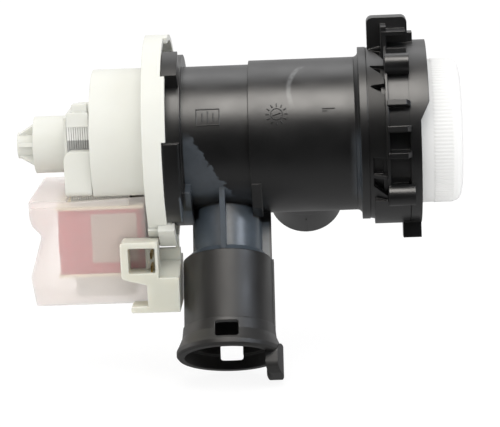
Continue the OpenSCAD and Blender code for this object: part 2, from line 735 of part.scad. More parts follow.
module connector_housing() color("#eceee8") difference() {
  union() {
    translate([0, frame_back_y, 0]) rotate([90, 0, 0]) linear_extrude(height = frame_depth)
      polygon([[frame_left + 1, frame_top], [frame_right, frame_top], [frame_right, frame_low],
        [frame_left + frame_cut, frame_low], [frame_left + 1, frame_low + 2.6], [frame_left, frame_low + 4],
        [frame_left, frame_top - 1]]);
    round_block(frame_left + frame_cut, block_low, block_right, frame_low + 3, frame_y, frame_back_y, 1);
    round_block(frame_left + foot_in, block_low, frame_left + frame_cut + 2, block_low + foot_t, frame_y,
      frame_back_y, 1);
    // block right of the coil cover, with its sloping ledge
    translate([block_left, 0, 0]) rotate([90, 0, 90]) linear_extrude(height = block_right - block_left)
      polygon([[frame_y, block_low], [-8, block_low], [-8, block_top], [frame_back_y + 6, block_top],
        [frame_y, block_top - 5]]);
    // riser under the carrier's catch, back wall and post
    translate([carrier_back + 2, -14, block_top - 1]) cube([6, 6, 1 - rim_r - seat_gap - block_top]);
    translate([carrier_back + 2, -22.5, block_top - 1]) cube([block_right - carrier_back - 2, 2.5, 6.4]);
    translate([block_right - 2, -22.5, block_top - 1]) cube([1.5, 2.5, 12.2]);
  }
  // pocket, open behind except where the contacts stand
  round_block(frame_left + frame_wall, frame_low + 5.2, frame_right - 1.2, frame_top - 2.6, frame_y - 1,
    frame_back_y - web_t, 0.8);
  round_block(frame_left + frame_wall, frame_low + 5.2, frame_right - 6, frame_top - 2.6, frame_y - 1,
    frame_back_y + 1, 0.8);
}

module terminal_blades() color("#b9a06a") for (z = [frame_top - 6.4, frame_top - 12.2])
  translate([frame_right - 3.4, frame_y + 2, z - 1.4]) cube([0.8, frame_depth - 2 - web_t, 2.8]);

// Bearings and seals

module bearing_plate() color("#d9dbd4") difference() {
  union() {
    rod(plate_back, plate_front, plate_r);
    rod(hub_back, plate_back + 1, can_bore - 0.3);
    rod(plate_front - 1, seal_front, seal_r + 2);
  }
  rod(hub_back - 1, hub_back + 6.9, bush_r + press_gap);
  rod(hub_back, seal_front + 1, shaft_r + 0.6);
  rod(seal_front - seal_len, seal_front + 1, seal_r + press_gap);
  // groove for the plate seal
  difference() {
    rod(hub_back + plate_groove - cord_r - 0.15, hub_back + plate_groove + cord_r + 0.15, can_bore + 1);
    rod(hub_back + 2, hub_back + 6, can_bore - 1 - cord_r - 0.05);
  }
}

module front_bearing() color("#6d6a64") ring(hub_back + 0.1, hub_back + 6.8, shaft_r + run_gap, bush_r);
module rear_bearing() color("#6d6a64") ring(rear_seat + 0.1, rear_seat + bush_len, shaft_r + run_gap, bush_r);
module shaft_seal() color("#1d1d1f")
  ring(seal_front - seal_len + 0.1, seal_front - 0.1, shaft_r + run_gap, seal_r);
module plate_seal() color("#1d1d1f") cord_ring(hub_back + plate_groove, can_bore - 1, cord_r);
module flange_seal() color("#1d1d1f") cord_ring(flange_back + 0.68, gland_r, cord_r);

// Rotor and impeller

module rotor_magnet() color("#4b4c50")
  ring(magnet_back, magnet_back + magnet_len, hub_r + press_gap, magnet_r);
module rotor_hub() color("#3f6a8c") ring(rear_seat + bush_len + 0.7, hub_front, shaft_r + press_gap, hub_r);
module rotor_shaft() color("#c6c9cc") rod(shaft_back, shaft_front, shaft_r);
module thrust_washer() color("#e2e0d6")
  ring(hub_front + 0.1, hub_back - 0.3, shaft_r + press_gap, bush_r - 0.2);

module drive_dog() color("#3f6a8c") translate([dog_back, 0, 0]) rotate([90, 0, 90])
  linear_extrude(height = dog_len) difference() {
    union() {
      circle(r = dog_hub_r);
      intersection() {
        circle(r = dog_r);
        wedge(2*dog_r, -dog_half, dog_half);
      }
    }
    circle(r = shaft_r + press_gap);
  }

module retaining_ring() color("#c6c9cc")
  ring(nut_back + 0.3, nut_back + 1.1, shaft_r + press_gap, shaft_r + 1.8);

module impeller() color("#d8dad6") {
  difference() {
    union() {
      rod(cup_back, cup_floor + 2, cup_r);
      rod(cup_floor, nut_back, shaft_r + hub_wall);
      rod(cup_back, cup_back + 1.2, impeller_r - blade_tip);
      for (i = [0:blade_count - 1])
        block_at(i*360/blade_count, cup_back, nut_back - 1, 1, cup_r - 1, impeller_r);
    }
    rod(cup_back - 1, cup_floor, cup_bore);
    rod(cup_floor - 1, nut_back + 1, shaft_r + run_gap);
  }
  // driven dog, opposite the driving one at rest
  segment(dog_back - slip_gap, cup_floor + 0.5, dog_hub_r + seat_gap, cup_bore + 0.5, 180 - dog_half,
    180 + dog_half);
}

module hub_cover() color("#d8dad6")
  ring(cup_back + 0.1, dog_back - slip_gap - 0.05, shaft_r + 0.6, cup_bore - 0.05);

// Filter plug

module filter_seal() color("#1d1d1f") cord_ring(ring_x, oring_mid, oring_r);

// Quick thread: one helical rib as rings of four points along the turn
function thread_ring(a) = let (x = thread_high + thread_lead*(a - thread_span)/360, h = thread_t/2)
  [for (p = [[x - h, plug_core - 1], [x + h, plug_core - 1], [x + h, thread_r], [x - h, thread_r]])
    [p[0], -p[1]*sin(a), p[1]*cos(a)]];
thread_steps = 20;

module thread_rib(a_end) rotate([a_end - thread_span, 0, 0]) polyhedron(
  points = [for (i = [0:thread_steps]) for (p = thread_ring(i*thread_span/thread_steps)) p],
  faces = concat([[0, 1, 2], [0, 2, 3]], [for (f = [[2, 1, 0], [3, 2, 0]]) [for (k = f) thread_steps*4 + k]],
    [for (i = [0:thread_steps - 1]) for (k = [0:3]) let (a = i*4 + k, b = i*4 + (k + 1)%4)
      each [[a, a + 4, b + 4], [a, b + 4, b]]]));

// Edge of the plug with its grip ribs, as a toothed outline
module grip_edge() polygon([for (i = [0:grip_count - 1]) for (k = [0:3])
  let (a = (i + [0, 0.2, 0.5, 0.7][k])*360/grip_count, r = k == 0 || k == 3 ? plug_core : plug_r)
  [r*cos(a), r*sin(a)]]);

module filter_cap() color("#eceee9") difference() {
  union() {
    turned([[barrel_back, 0], [barrel_back, barrel_r], [ring_x - 1.5, barrel_r],
      [ring_x - 1.5, oring_mid - 1.35], [ring_x + 1.5, oring_mid - 1.35], [ring_x + 1.5, barrel_r],
      [shoulder_x, barrel_r], [shoulder_x, plug_core], [plug_front - plug_round, plug_core],
      [plug_front - 2.6, plug_core - 0.5], [plug_front - 1.4, plug_core - 1.4],
      [plug_front - 0.6, plug_core - 2.8], [plug_front, plug_core - 5.5], [plug_front, 0]]);
    translate([2, 0, 0]) rotate([0, 90, 0]) linear_extrude(height = plug_front - plug_round - 2.2) grip_edge();
    for (a = lug_angles) thread_rib(a);
  }
  // hollow behind the front wall
  difference() {
    rod(barrel_back - 1, plug_front - 2.2, oring_mid - 3);
    rod(plug_front - 14, plug_front, plug_r - 6);
  }
  // recess in the front face, with its grip bar
  difference() {
    rod(plug_front - 12, plug_front + 1, plug_r - 8);
    translate([plug_front - 13, -plug_r, -4.5]) cube([12.4, 2*plug_r, 9]);
  }
}

module filter_comb() color("#e4e6e0") {
  comb_r = oring_mid - 4;
  comb_back = step_x + comb_gap;
  ring(barrel_back - 3, barrel_back, comb_r - 3.6, comb_r + 1.6);
  ring(comb_back, comb_back + 3, comb_r - 3.6, comb_r + 1);
  for (i = [0:finger_count - 1]) rotate([360*i/finger_count, 0, 0]) translate([0, 0, comb_r - 1.4])
    rod(comb_back + 1, barrel_back - 1, 1.7);
}

filter_housing();
motor_carrier();
stator_bracket();
stator_laminations();
bobbin_front();
bobbin_rear();
winding_front();
winding_rear();
coil_label();
coil_cover();
connector_housing();
terminal_blades();
bearing_plate();
front_bearing();
rear_bearing();
shaft_seal();
plate_seal();
flange_seal();
rotor_magnet();
rotor_hub();
rotor_shaft();
thrust_washer();
drive_dog();
retaining_ring();
impeller();
hub_cover();
filter_seal();
filter_cap();
filter_comb();
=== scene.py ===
import math

import bmesh
import bpy
from mathutils import Matrix, Vector


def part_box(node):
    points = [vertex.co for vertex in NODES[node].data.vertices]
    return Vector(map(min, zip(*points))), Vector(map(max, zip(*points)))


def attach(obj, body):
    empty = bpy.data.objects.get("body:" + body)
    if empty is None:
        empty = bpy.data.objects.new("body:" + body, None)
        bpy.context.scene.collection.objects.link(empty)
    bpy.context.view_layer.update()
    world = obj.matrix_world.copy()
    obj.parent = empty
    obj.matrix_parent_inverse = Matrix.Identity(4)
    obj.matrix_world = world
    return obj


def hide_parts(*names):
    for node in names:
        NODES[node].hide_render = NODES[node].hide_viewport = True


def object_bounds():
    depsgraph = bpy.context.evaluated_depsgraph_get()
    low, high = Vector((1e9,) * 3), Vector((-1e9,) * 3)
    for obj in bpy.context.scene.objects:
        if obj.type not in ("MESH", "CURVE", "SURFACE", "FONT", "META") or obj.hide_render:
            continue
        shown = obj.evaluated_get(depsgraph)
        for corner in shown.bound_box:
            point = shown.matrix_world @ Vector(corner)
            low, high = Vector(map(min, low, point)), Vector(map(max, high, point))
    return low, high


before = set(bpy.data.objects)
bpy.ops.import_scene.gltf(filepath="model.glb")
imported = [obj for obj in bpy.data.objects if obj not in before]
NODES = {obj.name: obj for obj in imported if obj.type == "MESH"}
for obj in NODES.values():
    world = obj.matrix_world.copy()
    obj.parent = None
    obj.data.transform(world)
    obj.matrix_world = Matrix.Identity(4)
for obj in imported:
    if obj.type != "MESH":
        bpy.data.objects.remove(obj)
cad_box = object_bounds()

MM = 0.001

# Sizes of the black moulding, in mm, where raised marks and fillets sit on it
TUBE_R = 34.0
CHAMBER_R = 32.3
INLET_R = 17.0
INLET_X = -55.6
INLET_ANGLE = 37.0
OUTLET_X = -90.1
OUTLET_WAY = (0.0, 0.5, -0.866)
SHOULDER = 54.6
RING_BACK = -29.8

# Circle that the flow line on the tube follows, where its glint is painted as a pale streak: its centre and
# radius, in mm, counted to the front
FLOW_CENTRE = (-36.25, 24.25, 23.83)
FLOW_R = 24.0


def srgb(hex_colour):
    """Linear colour of an sRGB hex value."""
    channels = [int(hex_colour[i:i + 2], 16) / 255 for i in (1, 3, 5)]
    return (*[c / 12.92 if c <= 0.04045 else ((c + 0.055) / 1.055) ** 2.4 for c in channels], 1.0)


def per_mm(size):
    """Texture scale at which a pattern's features are this many millimetres across."""
    return 1 / (size * MM)


# Nodes of a material

def new_material(name):
    material = bpy.data.materials.new(name)
    material.use_nodes = True
    material.node_tree.nodes.clear()
    return material, material.node_tree


def add(tree, kind, settings, inputs):
    """Adds a shader node with its settings; an input is a value, or the socket that feeds it."""
    node = tree.nodes.new("ShaderNode" + kind)
    for name, value in settings.items():
        setattr(node, name, value)
    for key, value in inputs.items():
        if isinstance(value, bpy.types.NodeSocket):
            tree.links.new(value, node.inputs[key])
        else:
            node.inputs[key].default_value = value
    return node


def moulded(name, dark, light, roughness, wander, skin_mm, skin_depth, edge_mm, shader):
    """Moulded plastic: two close tones in soft clouds, wandering gloss, a fine skin, rounded edges."""
    material, tree = new_material(name)
    place = add(tree, "TexCoord", {}, {}).outputs["Object"]
    clouds = add(tree, "TexNoise", {}, {"Vector": place, "Scale": per_mm(16), "Detail": 3.0})
    skin = add(tree, "TexNoise", {}, {"Vector": place, "Scale": per_mm(skin_mm), "Detail": 2.0})
    tone = add(tree, "Mix", {"data_type": "RGBA"}, {0: clouds.outputs[0], 6: srgb(dark), 7: srgb(light)})
    gloss = add(tree, "MapRange", {}, {"Value": clouds.outputs[0], "From Min": 0.3, "From Max": 0.7,
                                       "To Min": roughness - wander, "To Max": roughness + wander})
    edge = add(tree, "Bevel", {"samples": 6}, {"Radius": edge_mm * MM})
    bump = add(tree, "Bump", {}, {"Height": skin.outputs[0], "Normal": edge.outputs[0], "Strength": 1.0,
                                  "Distance": skin_depth * MM})
    bsdf = add(tree, "BsdfPrincipled", {}, {"Base Color": tone.outputs[2], "Roughness": gloss.outputs[0],
                                            "Normal": bump.outputs[0], **shader})
    add(tree, "OutputMaterial", {}, {"Surface": bsdf.outputs[0]})
    return material


def shader_of(material):
    """Main shader of a material, whose inputs a finish can feed further."""
    return next(n for n in material.node_tree.nodes if n.type == "BSDF_PRINCIPLED")


def zone(tree, strength, *limits):
    """Strength within all the soft limits of a zone.

    A limit is a coordinate, the value where it starts and the value where it is full."""
    for coordinate, start, full in limits:
        edge = add(tree, "MapRange", {"interpolation_type": "SMOOTHSTEP"}, {
            "Value": coordinate, "From Min": min(start, full), "From Max": max(start, full),
            "To Min": float(start > full), "To Max": float(start < full)})
        strength = add(tree, "Math", {"operation": "MULTIPLY"}, {0: strength, 1: edge.outputs[0]}).outputs[0]
    return strength


def black_polypropylene():
    """Black moulded polypropylene: very dark, a broad satin highlight, edges that catch the light.

    One flow line bends over the tube, its glint painted in as a pale streak; a bluish painted reflection with
    a ragged edge lies on the chamber and the neck, and the hose socket is rubbed matt and a little brown."""
    material = moulded("black_moulded_polypropylene", "#070708", "#0c0c0e", 0.375, 0.05, 0.9, 0.006, 0.5,
                       {"IOR": 1.75, "Specular IOR Level": 0.95})
    tree = material.node_tree
    bsdf = shader_of(material)
    tone, gloss = (bsdf.inputs[name].links[0].from_socket for name in ("Base Color", "Roughness"))

    # coordinates in mm, counted to the front: along the tube, clock angle in degrees, distance from the
    # tube's axis, way down the outlet, and distance from the flow line's centre
    place = add(tree, "TexCoord", {}, {}).outputs["Object"]
    spot = add(tree, "Mapping", {}, {"Vector": place, "Scale": (1 / MM, -1 / MM, 1 / MM)}).outputs[0]
    x, front, up = add(tree, "SeparateXYZ", {}, {0: spot}).outputs
    turn = add(tree, "Math", {"operation": "ARCTAN2"}, {0: front, 1: up}).outputs[0]
    clock = add(tree, "Math", {"operation": "DEGREES"}, {0: turn}).outputs[0]
    across = add(tree, "Mapping", {}, {"Vector": spot, "Scale": (0, 1, 1)}).outputs[0]
    reach = add(tree, "VectorMath", {"operation": "LENGTH"}, {0: across}).outputs["Value"]
    down = add(tree, "VectorMath", {"operation": "DOT_PRODUCT"}, {0: spot, 1: OUTLET_WAY}).outputs["Value"]
    arc = add(tree, "VectorMath", {"operation": "DISTANCE"}, {0: spot, 1: FLOW_CENTRE}).outputs["Value"]
    patchy = add(tree, "TexNoise", {}, {"Vector": place, "Scale": per_mm(2.5), "Detail": 4.0}).outputs[0]

    # slanting border of the painted bluish reflection on the chamber, made ragged by the patches
    slant = add(tree, "Math", {"operation": "MULTIPLY_ADD"}, {0: clock, 1: 0.319, 2: -128.0})
    border = add(tree, "Math", {"operation": "MULTIPLY_ADD"}, {0: patchy, 1: 7.0, 2: slant.outputs[0]})
    inside = add(tree, "Math", {"operation": "SUBTRACT"}, {0: border.outputs[0], 1: x}).outputs[0]
    outlet = ((reach, CHAMBER_R + 0.4, CHAMBER_R + 1.1), (down, SHOULDER, SHOULDER - 0.4))
    # painted bluish reflection: on the chamber, on the neck between its ribs, on the neck below them, and
    # faintly at the collar
    painted_reflections = [
        zone(tree, 0.75, (inside, 2.9, 3.9), (x, -107.0, -106.4), (clock, 74, 84), (clock, 137, 126)),
        zone(tree, 1.0, *outlet, (down, 24, 25), (x, OUTLET_X - 12.0, OUTLET_X - 11.6),
             (x, OUTLET_X + 12.0, OUTLET_X + 11.6)),
        zone(tree, 1.0, *outlet, (down, 36.8, 37.4), (x, OUTLET_X - 18.9, OUTLET_X - 18.4),
             (x, OUTLET_X + 18.9, OUTLET_X + 18.4)),
        zone(tree, 0.5, (x, RING_BACK - 5.2, RING_BACK - 1.7), (x, RING_BACK + 0.3, RING_BACK + 0.1),
             (clock, 72, 90), (clock, 145, 125)),
    ]
    painted_reflection = 0.0
    for part in painted_reflections:
        painted_reflection = add(tree, "Math", {"operation": "MAXIMUM"}, {0: painted_reflection, 1: part}).outputs[0]
    mottle = add(tree, "MapRange", {}, {"Value": patchy, "From Min": 0.25, "From Max": 0.75, "To Min": 0.7,
                                        "To Max": 1.0})
    painted_reflection = add(tree, "Math", {"operation": "MULTIPLY"}, {0: painted_reflection, 1: mottle.outputs[0]}).outputs[0]

    # the flow line's glint, painted as a pale streak in the base colour
    flow_line_glint = zone(tree, 0.6, (arc, FLOW_R - 1.5, FLOW_R - 0.4), (arc, FLOW_R + 1.5, FLOW_R + 0.4),
                (clock, 17, 22), (clock, 64, 46), (x, -50, -53), (patchy, 0.15, 0.6))
    rubbed = zone(tree, 1.0, (down, SHOULDER - 0.2, SHOULDER + 0.2), (x, OUTLET_X - 28, OUTLET_X - 27),
                  (x, OUTLET_X + 28, OUTLET_X + 27))
    # tones laid over the black: a pale painted highlight on the flow line, the painted bluish reflection, and
    # the socket's brownish matt patch
    for share, colour in ((flow_line_glint, "#6a6b6c"), (painted_reflection, "#4a545e"), (rubbed, "#181614")):
        tone = add(tree, "Mix", {"data_type": "RGBA"}, {0: share, 6: tone, 7: srgb(colour)}).outputs[2]
    matt = add(tree, "Math", {"operation": "MULTIPLY_ADD"}, {0: rubbed, 1: 0.1, 2: gloss})
    tree.links.new(tone, bsdf.inputs["Base Color"])
    tree.links.new(matt.outputs[0], bsdf.inputs["Roughness"])
    return material


def white_polypropylene():
    """Natural white polypropylene: waxy and a little green, light seeps through its thin walls."""
    return moulded("white_moulded_polypropylene", "#d2d2cb", "#d9dad4", 0.42, 0.05, 1.2, 0.006, 0.6,
                   {"IOR": 1.49, "Specular IOR Level": 0.25, "Subsurface Weight": 0.25,
                    "Subsurface Radius": (1.0, 0.95, 0.8), "Subsurface Scale": 2 * MM})


def connector_nylon():
    """White nylon: harder and cooler than the carrier's plastic, with a slight gloss."""
    return moulded("connector_nylon", "#c5c5b9", "#cecec4", 0.38, 0.04, 0.9, 0.004, 0.5,
                   {"IOR": 1.53, "Subsurface Weight": 0.8, "Subsurface Radius": (1.0, 0.9, 0.8),
                    "Subsurface Scale": 7 * MM})


def plug_plastic():
    """Bright white plug plastic: smooth, almost shadowless because light passes into it."""
    return moulded("plug_polypropylene", "#e1e1e0", "#e5e5e4", 0.35, 0.04, 1.0, 0.003, 1.0,
                   {"IOR": 1.49, "Specular IOR Level": 0.3, "Subsurface Weight": 0.15,
                    "Subsurface Radius": (1.0, 1.0, 0.97), "Subsurface Scale": 3 * MM})


def frosted_plastic():
    """Frosted polypropylene sheet: a milky veil that lets the red coils through with soft edges,
    and is thicker and milkier at the lip."""
    material = moulded("frosted_polypropylene", "#fef7f3", "#fffbf9", 0.5, 0.03, 1.5, 0.004, 0.4,
                       {"IOR": 1.15, "Transmission Weight": 0.7})
    tree = material.node_tree
    spot = add(tree, "SeparateXYZ", {}, {0: add(tree, "TexCoord", {}, {}).outputs["Object"]}).outputs
    out = add(tree, "Math", {"operation": "ABSOLUTE"}, {0: spot[1]})
    thick = add(tree, "MapRange", {}, {"Value": out.outputs[0], "From Min": 29.3 * MM, "From Max": 29.6 * MM,
                                       "To Min": 0.62, "To Max": 0.88})
    bsdf = shader_of(material)
    tree.links.new(thick.outputs[0], bsdf.inputs["Alpha"])
    return material


def winding_tape():
    """Red polyester tape on the coils: a thin glossy film, darker where turns overlap."""
    return moulded("red_winding_tape", "#9c1f2c", "#b32a37", 0.34, 0.06, 4.0, 0.05, 0.2, {"IOR": 1.6})


def label_paper():
    """Blank coil label: matt beige paper with a faint fibre."""
    return moulded("blank_label_paper", "#a38f84", "#ac988c", 0.7, 0.05, 0.5, 0.01, 0.05, {"IOR": 1.45})


def bobbin_nylon():
    """Cream nylon coil former: slightly yellow and waxy."""
    return moulded("bobbin_nylon", "#d6cdb4", "#ded6c0", 0.45, 0.05, 1.2, 0.006, 0.4, {"IOR": 1.53})


def impeller_plastic():
    """Grey-white filled polypropylene of the impeller and bearing plate: matt and even."""
    return moulded("filled_polypropylene", "#c9cbc6", "#d3d5d0", 0.5, 0.05, 0.7, 0.008, 0.4, {"IOR": 1.49})


def rotor_plastic():
    """Blue moulded plastic of the rotor hub and dog: smooth with a soft gloss."""
    return moulded("blue_rotor_plastic", "#2d5878", "#35638a", 0.4, 0.05, 0.8, 0.006, 0.4, {"IOR": 1.5})


def seal_rubber():
    """Black nitrile rubber: matt, greyer than the housing."""
    return moulded("seal_rubber", "#18181a", "#202123", 0.62, 0.06, 0.6, 0.01, 0.2, {"IOR": 1.52})


def bush_carbon():
    """Pressed carbon-graphite bush: dark grey with a fine sparkle of grain."""
    return moulded("bush_carbon_graphite", "#3b3a38", "#4a4946", 0.48, 0.08, 0.4, 0.01, 0.2, {"IOR": 1.9})


def ferrite():
    """Sintered ferrite magnet: dark, dense ceramic with a ground surface."""
    return moulded("sintered_ferrite", "#333437", "#3f4043", 0.42, 0.08, 0.5, 0.008, 0.2, {"IOR": 2.3})


def metal(name, dark, light, roughness, grain_mm, stretch, metallic=1.0):
    """Bare metal with a fine grain drawn out along one direction."""
    material, tree = new_material(name)
    place = add(tree, "TexCoord", {}, {}).outputs["Object"]
    drawn = add(tree, "Mapping", {}, {"Vector": place, "Scale": stretch})
    grain = add(tree, "TexNoise", {}, {"Vector": drawn.outputs[0], "Scale": per_mm(grain_mm), "Detail": 3.0})
    tone = add(tree, "Mix", {"data_type": "RGBA"}, {0: grain.outputs[0], 6: srgb(dark), 7: srgb(light)})
    gloss = add(tree, "MapRange", {}, {"Value": grain.outputs[0], "From Min": 0.3, "From Max": 0.7,
                                       "To Min": roughness - 0.06, "To Max": roughness + 0.06})
    bump = add(tree, "Bump", {}, {"Height": grain.outputs[0], "Strength": 1.0, "Distance": 0.01 * MM})
    bsdf = add(tree, "BsdfPrincipled", {}, {"Base Color": tone.outputs[2], "Metallic": metallic,
                                            "Roughness": gloss.outputs[0], "Normal": bump.outputs[0]})
    add(tree, "OutputMaterial", {}, {"Surface": bsdf.outputs[0]})
    return material


def electrical_steel():
    """Punched electrical steel: bright cut edges with fine shear lines, with painted shade over the lower
    part of the stack, weaker on the yoke.
    """
    material = metal("punched_electrical_steel", "#f2f2ef", "#fdfdfa", 0.5, 0.5, (1.0, 0.3, 0.3), 0.0)
    tree = material.node_tree
    spot = add(tree, "SeparateXYZ", {}, {0: add(tree, "TexCoord", {}, {}).outputs["Object"]}).outputs
    # painted shade: the stack is darkened below its upper edge, and only partly on the yoke at the bottom
    shade_band = add(tree, "MapRange", {"interpolation_type": "SMOOTHSTEP"}, {
        "Value": spot[2], "From Min": 4.4 * MM, "From Max": 5.2 * MM, "To Min": 1.0, "To Max": 0.0})
    yoke = add(tree, "MapRange", {}, {"Value": spot[2], "From Min": -14 * MM, "From Max": -10 * MM,
                                      "To Min": 0.4, "To Max": 1.0})
    share = add(tree, "Math", {"operation": "MULTIPLY"}, {0: shade_band.outputs[0], 1: yoke.outputs[0]})
    bsdf = shader_of(material)
    plain = bsdf.inputs["Base Color"].links[0].from_socket
    painted_shade = add(tree, "Mix", {"data_type": "RGBA"}, {0: share.outputs[0], 6: plain, 7: srgb("#acacaa")})
    tree.links.new(painted_shade.outputs[2], bsdf.inputs["Base Color"])
    return material


def terminal_brass():
    """Stamped brass contact: warm yellow, rolled grain."""
    return metal("stamped_brass", "#a98a4c", "#c4a765", 0.32, 0.4, (0.3, 1.0, 1.0))


def shaft_steel():
    """Ground stainless shaft: bright, with turning lines round it."""
    return metal("ground_shaft_steel", "#bfc2c5", "#d2d4d6", 0.22, 0.3, (1.0, 0.2, 0.2))


# New pieces

def piece(name, bm, material, body="housing", sharp=35):
    """Object at the origin from a bmesh, smooth where its faces meet at less than sharp degrees."""
    bmesh.ops.remove_doubles(bm, verts=bm.verts, dist=0.002 * MM)
    bmesh.ops.recalc_face_normals(bm, faces=bm.faces)
    for face in bm.faces:
        face.smooth = True
    for edge in bm.edges:
        edge.smooth = edge.calc_face_angle(0) < math.radians(sharp)
    mesh = bpy.data.meshes.new(name)
    bm.to_mesh(mesh)
    bm.free()
    mesh.materials.append(material)
    made = bpy.data.objects.new(name, mesh)
    bpy.context.scene.collection.objects.link(made)
    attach(made, body)
    return made


def bevelled(bm, edges, width, segments):
    return bmesh.ops.bevel(bm, geom=edges, offset=width, offset_type="OFFSET", segments=segments,
                           profile=0.5, affect="EDGES", material=-1)


def bar(bm, centre, size, turn=0.0):
    """Small block of a raised mark, turned about its own upright; all in mm on a flat sheet."""
    matrix = Matrix.Translation(centre) @ Matrix.Rotation(math.radians(turn), 4, "Z")
    return bmesh.ops.create_cube(bm, size=1, matrix=matrix @ Matrix.Diagonal((*size, 1)))["verts"]


def wrap(bm, radius, x, clock):
    """Bends a flat sheet in mm on to a cylinder along X, its origin at this station and clock angle."""
    for vert in bm.verts:
        angle = math.radians(clock) + vert.co.y / radius
        height = radius + vert.co.z
        vert.co = Vector((x + vert.co.x, -height * math.sin(angle), height * math.cos(angle))) * MM


def tick_ring(material):
    """Moulded dial on the tube: a rim, a ring of plain ticks and one pointer bar."""
    dial_x, dial_clock = -65.66, 64.4
    bm = bmesh.new()
    # count, radius, size of a block and height of its middle
    ticks = (12, 4.1, (1.3, 0.45, 0.5), 0.05)
    rim = (36, 2.5, (0.3, 0.46, 0.36), 0.02)
    for count, radius, size, height in (ticks, rim):
        for i in range(count):
            angle = 360 * i / count
            way = Vector((math.cos(math.radians(angle)), math.sin(math.radians(angle)), 0))
            bar(bm, radius * way + Vector((0, 0, height)), size, angle)
    bar(bm, (0, 0, 0.05), (3.4, 0.6, 0.5), -16)
    wrap(bm, TUBE_R, dial_x, dial_clock)
    return piece("dial_ticks", bm, material)


def tube_ticks(material):
    """Pair of short ticks near the collar end of the tube."""
    bm = bmesh.new()
    bar(bm, (0, -0.3, 0.05), (5.4, 0.4, 0.5))
    bar(bm, (-1.6, 0.7, 0.05), (2.2, 0.4, 0.5))
    wrap(bm, TUBE_R, -43.2, 62.0)
    return piece("tube_ticks", bm, material)


def chamber_mark(material):
    """Plain raised frame with three bars on the pump chamber."""
    bm = bmesh.new()
    for y in (-3.6, 3.6):
        bar(bm, (0, y, 0.03), (10.0, 0.45, 0.4))
    for x in (-5, 5):
        bar(bm, (x, 0, 0.03), (0.45, 7.65, 0.4))
    for i, length in enumerate((3.6, 5.0, 3.6)):
        bar(bm, (2.4 * (i - 1), 0, 0.03), (0.5, length, 0.4))
    wrap(bm, CHAMBER_R, -95.6, 64)
    return piece("chamber_mark", bm, material)


def inlet_seam(material):
    """Mould seam along the underside of the inlet stub."""
    seam_length, seam_middle = 13.0, 58.0
    bm = bmesh.new()
    bar(bm, (0, 0, 0), (0.5, seam_length, 0.5))
    turn = math.radians(INLET_ANGLE)
    along = Vector((0, math.cos(turn), -math.sin(turn)))
    out = Vector((0, -math.sin(turn), -math.cos(turn)))
    for vert in bm.verts:
        flat = vert.co.copy()
        station = seam_middle + flat.y
        vert.co = (Vector((INLET_X + flat.x, 0, 0)) + along * station + out * (INLET_R + flat.z)) * MM
    return piece("inlet_seam", bm, material)


def collar_fillet(material):
    """Hollow fillet where the tube runs into the first collar ring."""
    fillet, sunk, steps = 2.2, 0.2, 6
    bm = bmesh.new()
    points = [(RING_BACK + sunk, TUBE_R - sunk)]
    for i in range(steps + 1):
        turn = math.radians(90 * i / steps)
        points.append((RING_BACK - fillet + fillet * math.sin(turn),
                       TUBE_R + fillet - fillet * math.cos(turn)))
    points.append((RING_BACK + sunk, TUBE_R + fillet))
    verts = [bm.verts.new(Vector((x, 0, r)) * MM) for x, r in points]
    edges = [bm.edges.new((a, b)) for a, b in zip(verts, verts[1:] + verts[:1])]
    bmesh.ops.spin(bm, geom=verts + edges, cent=(0, 0, 0), axis=(1, 0, 0), angle=2 * math.pi, steps=96,
                   use_merge=True)
    return piece("collar_fillet", bm, material, sharp=60)


def taped_coil(name, node, material):
    """Coil wrapped in three overlapping turns of tape."""
    corner, ramp, step, wall = 3.6 * MM, 0.2 * MM, 0.25 * MM, 4.0 * MM
    low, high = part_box(node)
    centre, size = (low + high) / 2, high - low
    bm = bmesh.new()
    bmesh.ops.create_cube(bm, size=1, matrix=Matrix.Translation(centre) @ Matrix.Diagonal((*size, 1)))
    caps = [f for f in bm.faces if abs(f.normal.z) > 0.9]
    bmesh.ops.delete(bm, geom=caps, context="FACES_ONLY")
    upright = [e for e in bm.edges if abs(e.verts[0].co.z - e.verts[1].co.z) > 0.01]
    bevelled(bm, upright, corner, 6)
    # the middle turn lies over the other two, so each border is a narrow step
    lower, upper = (low.z + share * size.z for share in (0.30, 0.62))
    for border in (lower, upper):
        for offset in (-ramp, ramp):
            bmesh.ops.bisect_plane(bm, geom=bm.verts[:] + bm.edges[:] + bm.faces[:],
                                   plane_co=(0, 0, border + offset), plane_no=(0, 0, 1))
    for vert in bm.verts:
        if not lower < vert.co.z < upper:
            flat = Vector((vert.co.x - centre.x, vert.co.y - centre.y, 0))
            vert.co -= flat.normalized() * step
    bmesh.ops.recalc_face_normals(bm, faces=bm.faces)
    bmesh.ops.solidify(bm, geom=bm.faces[:], thickness=wall)
    made = piece(name, bm, material, sharp=50)
    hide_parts(node)
    return made


